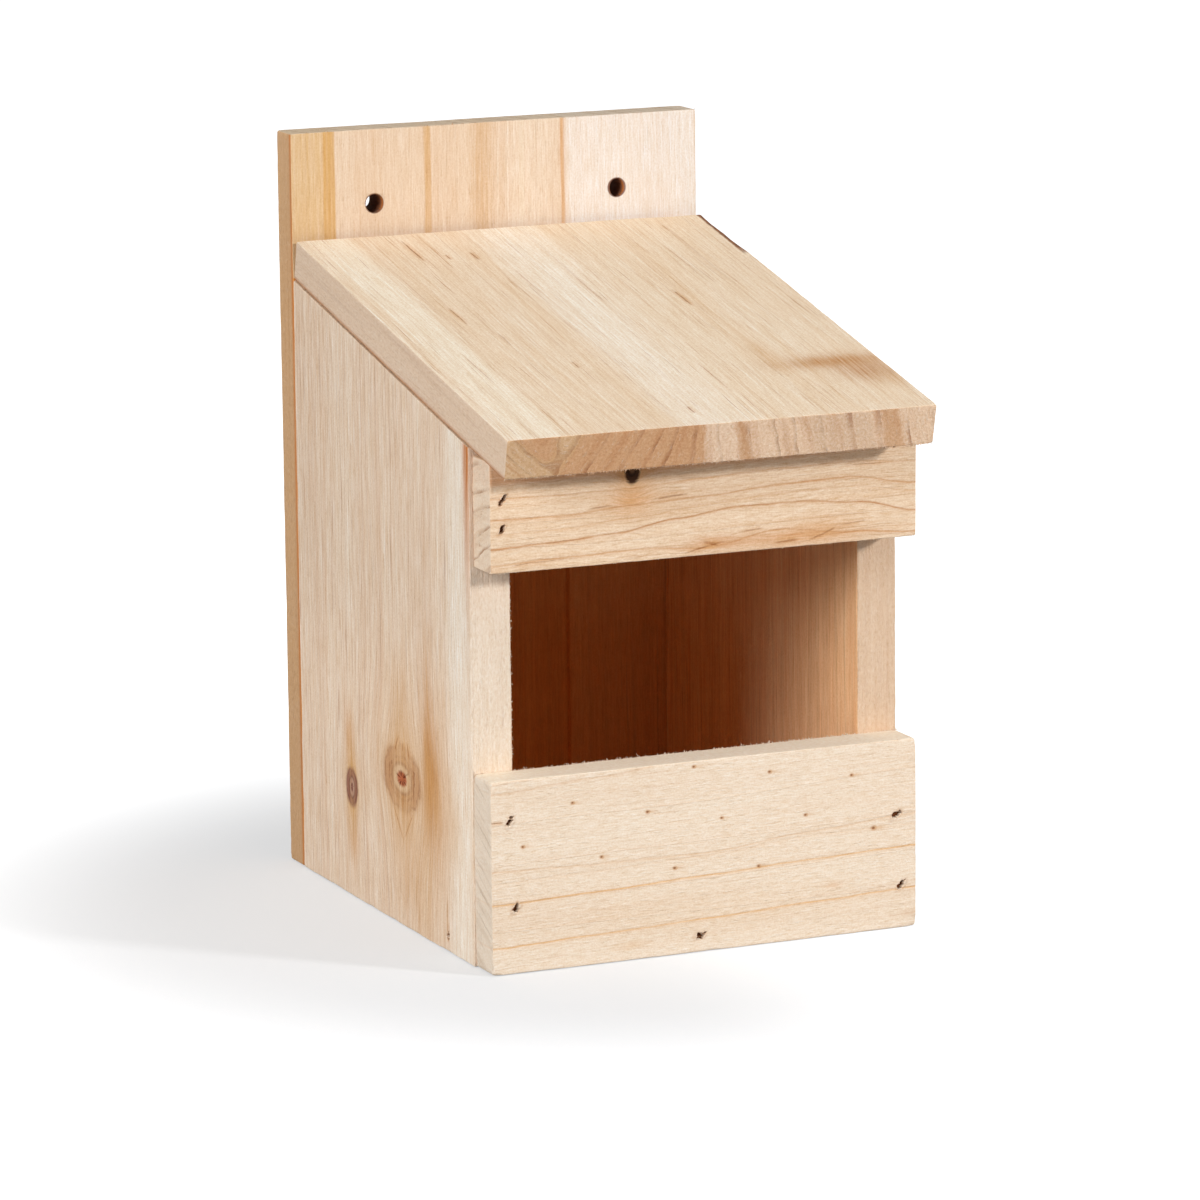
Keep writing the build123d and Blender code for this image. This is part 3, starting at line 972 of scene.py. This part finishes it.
RAIL_LOOK = dict(
    inside_light_and_shade=(PAINTED_SHADE_TINT, 0.9, 1, 0, RAIL.size[0]),
    seed=8, slant=0.012, wander=2.6, ripple=0.8, band_width=4,
    rings=(2.9, 62, 0.35, 0.1, 0.2),
    pale=(239, 213, 184), mid=(232, 201, 168), warm=(224, 185, 145), light=(246, 227, 203),
    late=(190, 134, 82), streak=0.6, pale_streak=0.6, thread=0.5, fibre_length=3.5, fibre=0.45, speckle=0.25,
    edge=(222, 196, 166), edge_dark=(190, 150, 112),
    end=(238, 217, 194), end_late=(200, 156, 112), end_line=(158, 102, 56),
    end_lean=(-0.28, ((12, 26, -0.25),)), end_spacing=5.6, end_strength=0.85, end_hatch=0.3,
    end_torn=0.55, end_pores=0.28,
    knots=[Knot((39, 4), (2.4, 4.7), (1.1, 2), (0.4, 0.8),
                ((66, 40, 22), (30, 16, 9), (108, 78, 54), (50, 30, 18)),
                stain=0.7, rings=2.2, push=0.7, line=0.85, solid=0.85)],
    lines=[(119, (14.8, 15.1, 13.9, 13.2, 12, 11.5, 14.5), 0.28, 0.8, (198, 138, 82)),
           (119, (22.1, 21.7, 20.8, 18.4, 16.7, 16.8, 18.2, 21.6), 0.26, 0.95, (188, 126, 70)),
           (119, (9.4, 9.8, 9.6, 8.6, 7.8, 7.6, 8.8), 0.26, 0.6, (200, 144, 92)),
           (119, (26.4, 25.8, 25.4, 26.6, 23.6, 25.8, 27.2), 0.26, 0.75, (196, 134, 76)),
           (119, (18.6, 18.4, 17.2, 15.4, 14.2, 14, 16.4), 0.24, 0.45, (204, 150, 98))],
    # Painted shade: a browner strip along the rail's top, where the roof's edge shades it
    bands=[(-3, 5.8, (198, 130, 76), 0.75, 1.1)],
    stains=[(39, 12, 6, 4, (222, 158, 94), 0.9), (84, 26, 18, 2.2, (206, 138, 76), 0.85),
            (92, 24, 10, 3, (214, 158, 102), 0.7), (62, 25.5, 9, 1.8, (200, 134, 76), 0.85)],
    resin=[(26, 34, 13.8, 0.3, -0.06, 0.7), (44, 55, 12.6, 0.35, -0.06, 0.8),
           (52, 66, 26.4, 0.34, -0.2, 0.85), (58, 63, 25.6, 0.55, 0.22, 0.7),
           (68, 76, 23.2, 0.3, -0.08, 0.7), (78, 86, 26.8, 0.45, -0.02, 0.85),
           (88, 97, 25.6, 0.38, -0.36, 0.75), (12, 30, 21.6, 0.2, -0.03, 0.6),
           (98, 112, 8.6, 0.2, 0.03, 0.6), (96, 105, 23.6, 0.3, -0.1, 0.45), (4, 22, 26.4, 0.2, -0.03, 0.6)],
)

SIDE_LOOK = dict(
    seed=15, wander=1.6, ripple=0.35, band_width=6,
    rings=(2.6, 18, 0.2, 0.18, 0.22),
    pale=(232, 210, 186), mid=(224, 197, 171), warm=(214, 179, 148), light=(240, 226, 208),
    late=(166, 114, 78), streak=0.85, pale_streak=0.85, thread=0.75, gauge=0.75, fibre_length=12,
    fibre=0.45, streak_width=1.9, fibre_width=0.8, speckle=0.24,
    edge=(226, 192, 160), edge_dark=(198, 150, 112),
    end=(205, 180, 152), end_late=(172, 134, 100), end_line=(150, 108, 72),
    end_lean=(0.4, ()), end_spacing=4,
)

LEFT_SIDE_LOOK = dict(
    SIDE_LOOK, painted_foot_light=0.11, inside_light_and_shade=(PAINTED_SHADE_TINT, 0.9, 1, 0, SIDE_TOP),
    knots=[
        Knot((29.7, 36.6), (5.6, 4.3), (2.8, 1.9), (1.1, 0.7),
             ((146, 100, 80), (92, 56, 50), (184, 144, 120), (140, 92, 76)),
             stain=1.15, rings=2.6, push=0.6, line=0.75, solid=0.75),
        Knot((39.3, 72.3), (9.2, 13.6), (4, 6.6), (1.9, 3.2),
             ((184, 132, 88), (130, 76, 44), (214, 180, 142), (168, 80, 42)),
             stain=0.85, rings=3.6, push=0.6, line=0.6, solid=0.4),
    ],
    bands=[(105, 118.5, (242, 232, 216), 0.8, 5)],
    stains=[(43, 92.5, 14, 5, (184, 122, 58), 1.4), (60, 72, 10, 6, (204, 160, 114), 0.6),
            (38, 96, 26, 9, (204, 152, 96), 0.75), (52, 90, 22, 2.5, (194, 136, 74), 0.9),
            (15, 78, 14, 9, (206, 160, 114), 0.7), (12, 88, 20, 6, (208, 164, 112), 0.5),
            (16, 38, 8, 3, (206, 150, 94), 0.8), (43, 35.5, 8, 3.2, (204, 146, 88), 0.85),
            (34, 108, 12, 5, (210, 164, 112), 0.55), (140, 118.8, 34, 2, (190, 116, 58), 1.6)],
    edge=(240, 223, 203), edge_dark=(214, 176, 140),
    resin=[(1, 16, 102.4, 0.24, 0, 0.8), (45.5, 51, 69, 0.5, 0.5, 0.75), (45, 50.5, 76.8, 0.5, -0.4, 0.7),
           (46.5, 49.5, 73.2, 0.4, 0.1, 0.6), (22.5, 32.5, 69.2, 0.4, -0.8, 0.65),
           (22.5, 32.5, 76.6, 0.4, 0.8, 0.6), (92, 98, 62, 0.2, 0, 0.5), (118, 124, 40, 0.22, 0, 0.5),
           (70, 78, 30, 0.2, 0, 0.5), (26, 30, 18, 0.25, 0, 0.5)],
)

BACK_LOOK = dict(
    seed=21, wander=0.8, ripple=0.2, band_width=9,
    rings=(6.3, 12, 0, 0.05, 0.12),
    pale=(231, 210, 187), mid=(225, 198, 171), warm=(216, 183, 149), light=(241, 227, 210),
    late=(200, 148, 100), streak=0.55, pale_streak=0.55, thread=0.42, fibre_length=8, fibre=0.34,
    speckle=0.2,
    edge=(205, 160, 118), edge_dark=(170, 116, 74), edge_share=0.7,
    end=(222, 202, 176), end_late=(196, 166, 132), end_line=(170, 132, 96),
    end_lean=(0.3, ()), end_spacing=5, end_torn=0.35,
    bands=[(-3, 12.4, (214, 174, 116), 0.85, 0.25), (9, 12.4, (208, 156, 84), 0.8, 0.5),
           (12.8, 52, (220, 190, 159), 0.55, 2.5), (38.2, 40, (208, 160, 100), 0.8, 0.4),
           (52, 57.5, (206, 162, 112), 0.7, 2.5), (66, 67.5, (233, 215, 191), 0.5, 0.3),
           (78.4, 79.4, (208, 150, 88), 0.9, 0.3), (79.8, 118.5, (238, 231, 225), 0.75, 1.5)],
    inside_light_and_shade=(PAINTED_SHADE_TINT, 0.95, -1, 0, SIDE_TOP),
    bores=[(*BACK.to_board(place)[:2], HOLE_RADIUS) for place in HOLE_PLACES],
    # The seam is a painted shadow where the side panels meet this board's front face
    painted_gap_shadow=(0.3, 0.9, (196, 116, 52)),
)

ROOF_LOOK = dict(
    seed=30, wander=1.3, ripple=0.3, band_width=9,
    rings=(7.5, 22, 0.4, 0.04, 0.3),
    pale=(242, 225, 202), mid=(236, 212, 184), warm=(224, 192, 155), light=(250, 242, 228),
    late=(178, 116, 62), streak=0.8, pale_streak=0.75, thread=0.8, gauge=0.46, fibre_length=13, fibre=0.36,
    speckle=0.3, fibre_width=0.42,
    edge=(219, 191, 165), edge_dark=(184, 148, 120), edge_share=0.8,
    end=(232, 198, 167), end_late=(190, 132, 86), end_line=(146, 88, 50),
    end_lean=(1.15, ((9, 17, -1.7), (38, 62, 0.82))), end_spacing=7.5, end_share=0.85,
    end_strength=0.7, end_hatch=0.75, end_torn=0.3, end_wander=1.1, end_pores=0.6,
    bands=[(3, 15, (245, 233, 210), 0.4, 3), (16, 47, (226, 192, 153), 0.35, 5),
           (49, 63, (248, 240, 226), 0.4, 5), (70, 118, (228, 196, 157), 0.4, 6)],
    # The seam is a painted shadow where the roof rests on the sides, and inner is painted shade under the
    # roof
    bark=34, painted_gap_shadow=(0.2, 0.7, (176, 112, 64)), inside_light_and_shade=(PAINTED_SHADE_TINT, 0.95, -1, 0, SIDE_HIGH[1] - SIDE_LOW[1]),
    end_bands=[(12.5, 56, (200, 146, 98), 0.75), (-8, 16, (208, 168, 122), 0.7),
               (64, 69, (196, 140, 90), 0.7), (104, 112, (196, 142, 92), 0.55),
               (84, 104, (216, 184, 154), 0.6)],
    stains=[(112, 106, 4.5, 16, (190, 132, 72), 1.15), (120, 112, 7, 9, (182, 122, 68), 0.95),
            (126, 116, 6, 5, (214, 172, 124), 0.5), (104, 90, 10, 3, (208, 158, 100), 0.5)],
    resin=[(4, 22.5, 28.3, 0.34, 0.02, 1), (16.8, 21.6, 36, 0.3, 0.02, 1), (15.9, 23, 43.3, 0.3, 0.02, 1),
           (54, 69, 21.3, 0.3, 0.02, 0.9), (53, 67, 86, 0.32, 0.03, 1), (97.4, 103.8, 38, 0.26, 0, 0.8),
           (132.9, 139.3, 54.4, 0.3, 0.03, 0.8), (74, 86, 27, 0.22, 0.02, 0.6), (40, 62, 64, 0.2, 0.02, 0.5),
           (86, 110, 12, 0.2, 0.01, 0.55), (20, 44, 98, 0.2, 0.02, 0.5), (104, 128, 70, 0.2, 0.02, 0.5),
           (6, 12, 104, 0.24, 0.02, 0.6), (30, 52, 50, 0.18, 0.01, 0.5)],
)

FLOOR_LOOK = dict(
    SIDE_LOOK, seed=44, pale=(226, 204, 176), mid=(216, 186, 150), warm=(202, 166, 124),
    inside_light_and_shade=(PAINTED_SHADE_TINT, 0.95, 1, 0, FLOOR.size[0]),
)

# The right side's inner face gets painted light
RIGHT_SIDE_LOOK = dict(SIDE_LOOK, seed=52, fibre=0.3, thread=0.45, inside_light_and_shade=(PAINTED_LIGHT_TINT, 1, 1, 0, SIDE_TOP))

WOODS = {
    "back_board": wood("back_board_wood", BACK, BACK_LOOK),
    "left_side_panel": wood("left_side_wood", LEFT_SIDE, LEFT_SIDE_LOOK),
    "right_side_panel": wood("right_side_wood", RIGHT_SIDE, RIGHT_SIDE_LOOK),
    "floor_board": wood("floor_wood", FLOOR, FLOOR_LOOK),
    "lower_front_panel": wood("lower_panel_wood", LOWER_PANEL, LOWER_LOOK),
    "upper_front_rail": wood("rail_wood", RAIL, RAIL_LOOK),
    "roof_board": wood("roof_wood", ROOF, ROOF_LOOK),
}


# ---- the boards


def build_board(board, seed, tufts=(), edges=None, step=GRID_STEP):
    """One board as a mesh piece attached to the root body, with its CAD node hidden."""
    points, quads = board_surface(board, edges, step, seed)
    faces = [tuple(quad) for quad in quads.tolist()]
    if tufts:
        fibres, fibre_faces = fibre_tufts(tufts, seed)
        faces += [tuple(number + len(points) for number in face) for face in fibre_faces]
        points = np.concatenate([points, fibres])
    name = board.node + "_wood"
    mesh = bpy.data.meshes.new(name)
    mesh.from_pydata([tuple(point) for point in board.to_row(points)], [], faces)
    mesh.validate()
    mesh.materials.append(WOODS[board.node])
    for polygon in mesh.polygons:
        polygon.use_smooth = True
    piece = bpy.data.objects.new(name, mesh)
    link(piece)
    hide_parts(board.node)
    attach(piece, ROOT)
    return piece


def rounded_corners(size, reach, radius):
    """Extra arris radius near a board's four corners in the plane of its face."""
    def extra(points):
        away_a = np.minimum(points[:, 0], size[0] - points[:, 0])
        away_b = np.minimum(points[:, 1], size[1] - points[:, 1])
        return radius * (1 - smooth(np.hypot(away_a, away_b), reach * 0.3, reach))
    return extra


def roof_edges(points):
    """The roof's corners, and bark left along the rear of its right top arris."""
    top = smooth(points[:, 2], ROOF.size[2] * 0.4, ROOF.size[2] * 0.6)
    right = smooth(points[:, 1], ROOF.size[1] * 0.8, ROOF.size[1] * 0.9)
    rear = 1 - smooth(points[:, 0] + 3.0 * wave(points, (6, 6, 6), 77), WANE_LENGTH - 8.0, WANE_LENGTH)
    wane = WANE_RADIUS * top * right * rear * (1 + 0.35 * wave(points, (4, 4, 4), 78))
    return np.maximum(wane, rounded_corners(ROOF.size, 3.0, 0.6)(points))


def opening_tufts(at_b, lean, count, longest):
    """Splinters on a side panel's front arris, along the opening only."""
    low, high = ((at_a, at_b, SIDE_C - 0.1) for at_a in OPENING_A)
    return [(low, high, lean, count, longest)]


LOWER_A, LOWER_B, LOWER_C = LOWER_PANEL.size
RAIL_A, RAIL_B, RAIL_C = RAIL.size
ROOF_A, ROOF_B, ROOF_C = ROOF.size
SIDE_B, SIDE_C = LEFT_SIDE.size[1:]
OPENING_A = [height / SIDE_FRONT_SHARE for height in (box_mm("lower_front_panel")[1][2], RAIL_LOW[2])]

LOWER_TUFTS = [
    ((0, 0.1, LOWER_C - 0.1), (LOWER_A, 0.1, LOWER_C - 0.1), (0, -1, 0.7), 420, 0.75),
    ((0, 0.1, 0.1), (LOWER_A, 0.1, 0.1), (0, -1, -0.4), 90, 0.3),
    ((0.1, 0, 0.3), (0.1, LOWER_B, 0.3), (-1, 0, -0.2), 60, 0.3),
]
RAIL_TUFTS = [
    ((0, RAIL_B - 0.1, 0.1), (RAIL_A, RAIL_B - 0.1, 0.1), (0, 1, -0.4), 80, 0.35),
    ((0.1, 2, RAIL_C - 0.2), (0.1, RAIL_B, RAIL_C - 0.2), (-1, 0, 0.6), 90, 0.55),
    ((0.1, 1, 3), (0.1, RAIL_B - 1, 8), (-1, 0.3, 0), 120, 0.35),
]
ROOF_TUFTS = [
    ((ROOF_A - 0.1, 0, 0.1), (ROOF_A - 0.1, ROOF_B, 0.1), (0.6, 0, -1), 260, 0.6),
    ((ROOF_A - 0.1, 8, 0.1), (ROOF_A - 0.1, 70, 0.1), (0.4, 0, -1), 120, 0.8),
    ((ROOF_A - 0.1, 0, ROOF_C - 0.1), (ROOF_A - 0.1, ROOF_B, ROOF_C - 0.1), (1, 0, 0.7), 120, 0.35),
]
BACK_TUFTS = [
    ((BACK.size[0] - 0.1, 0, 0.1), (BACK.size[0] - 0.1, BACK.size[1], 0.1), (1, 0, -0.6), 150, 0.4),
]

build_board(LOWER_PANEL, 11, LOWER_TUFTS, rounded_corners(LOWER_PANEL.size, 4.0, 0.95))
build_board(RAIL, 12, RAIL_TUFTS, rounded_corners(RAIL.size, 2.5, 0.5))
build_board(LEFT_SIDE, 13, opening_tufts(SIDE_B - 0.1, (0, 0.2, 1), 110, 0.7))
build_board(RIGHT_SIDE, 14, opening_tufts(0.1, (0, -1, 0.4), 70, 0.4))
build_board(FLOOR, 15)
build_board(ROOF, 16, ROOF_TUFTS, roof_edges)
back_piece = build_board(BACK, 17, BACK_TUFTS, rounded_corners(BACK.size, 2.5, 0.6), BACK_GRID_STEP)
cut(back_piece, [
    ragged_bore(place, REARWARD, HOLE_RADIUS, 3 * BACK.size[2], squeeze, number)
    for number, (place, squeeze) in enumerate(zip(HOLE_PLACES, (1.0, 0.86)))
])

steel = dull_steel("dull_steel")
for node, piece in frame["nodes"].items():
    if "nail" in node:
        piece.data.materials.clear()
        piece.data.materials.append(steel)


# ---- floor, light and camera

STAGE_RADIUS = 9.0
STAGE_GAP = 0.0002
FLOOR_GLOW_LEFT, FLOOR_GLOW_RIGHT, FLOOR_GLOW_FAR = 0.45, 0.85, 1.0
FLOOR_GLOW_REACH = (0.11, 0.24)
FLOOR_GLOW_TURN = (-0.04, 0.08)
FLOOR_TONES = ((172.46, 173.39, 175.24), (174.32, 175.24, 177.06))


def floor_paint():
    """A pale grey floor. Only the camera sees its white glow, which lights nothing."""
    shade = Shade("studio_floor")
    place = shade.position()
    x, y = (shade.along(place, axis) for axis in (RIGHTWARD, REARWARD))
    tone = shade.noise(x * 3.0, y * 3.0, 0.0)
    shade.feed(shade.shader.inputs["Base Color"], shade.mix(shade.step(tone, -1.0, 1.0), *FLOOR_TONES))
    shade.shader.inputs["Roughness"].default_value = 0.9
    shade.shader.inputs["Emission Color"].default_value = (1, 1, 1, 1)
    seen = Value(shade, shade.nodes.new("ShaderNodeLightPath").outputs["Is Camera Ray"])
    near = FLOOR_GLOW_LEFT + shade.step(x, *FLOOR_GLOW_TURN) * (FLOOR_GLOW_RIGHT - FLOOR_GLOW_LEFT)
    away = shade.step((x * x + y * y) ** 0.5, *FLOOR_GLOW_REACH)
    shade.feed(shade.shader.inputs["Emission Strength"], seen * (near + away * (FLOOR_GLOW_FAR - near)))
    return shade.material


stage_shape = bmesh.new()
bmesh.ops.create_circle(stage_shape, cap_ends=True, segments=64, radius=STAGE_RADIUS)
stage_mesh = mesh_from(stage_shape, "studio_floor")
stage_mesh.materials.append(floor_paint())
floor = bpy.data.objects.new("studio_floor", stage_mesh)
floor.location.z = CAD_BOX[0][2] - STAGE_GAP
link(floor)


BOX_MIDDLE = (Vector(CAD_BOX[0]) + Vector(CAD_BOX[1])) / 2


def aimed(name, data, target, azimuth, elevation, distance):
    """A lamp or camera that looks at a target. Azimuth 0 is in front of the object, 90 to its right."""
    turn, lift = math.radians(azimuth), math.radians(elevation)
    way = Vector((math.sin(turn) * math.cos(lift), -math.cos(turn) * math.cos(lift), math.sin(lift)))
    thing = bpy.data.objects.new(name, data)
    thing.location = target + way * distance
    thing.rotation_euler = way.to_track_quat("Z", "Y").to_euler()
    link(thing)
    return thing


def softbox(name, azimuth, elevation, distance, size, power):
    """A square soft light."""
    light = bpy.data.lights.new(name, "AREA")
    light.shape = "SQUARE"
    light.size = size
    light.energy = power
    aimed(name, light, BOX_MIDDLE, azimuth, elevation, distance)


softbox("key_light", 42, 18, 1.6, 0.16, 17.2)
softbox("left_light", -66, 23, 1.7, 0.8, 22.5)
softbox("top_light", 0, 88, 1.8, 1.2, 7.5)
softbox("rear_light", 165, 40, 2.2, 1.4, 2)

world = bpy.data.worlds.new("studio")
world.use_nodes = True
world.node_tree.nodes["Background"].inputs["Color"].default_value = (1, 1, 1, 1)
world.node_tree.nodes["Background"].inputs["Strength"].default_value = 0.12
bpy.context.scene.world = world
bpy.context.scene.view_settings.view_transform = "Standard"

CAMERA_AZIMUTH = -23.75
CAMERA_ELEVATION = 11.25
CAMERA_ROLL = -0.55
CAMERA_DISTANCE = 1.636
CAMERA_LENS = 185.5
CAMERA_SENSOR = 36.0
AIM_OFFSET = Vector((0.002, 0.007, -0.0209))

camera_data = bpy.data.cameras.new("camera")
camera_data.lens = CAMERA_LENS
camera_data.sensor_width = CAMERA_SENSOR
camera_data.clip_end = 30
aim = BOX_MIDDLE + AIM_OFFSET
camera = aimed("camera", camera_data, aim, CAMERA_AZIMUTH, CAMERA_ELEVATION, CAMERA_DISTANCE)
camera.rotation_euler.rotate_axis("Z", math.radians(CAMERA_ROLL))
bpy.context.scene.camera = camera
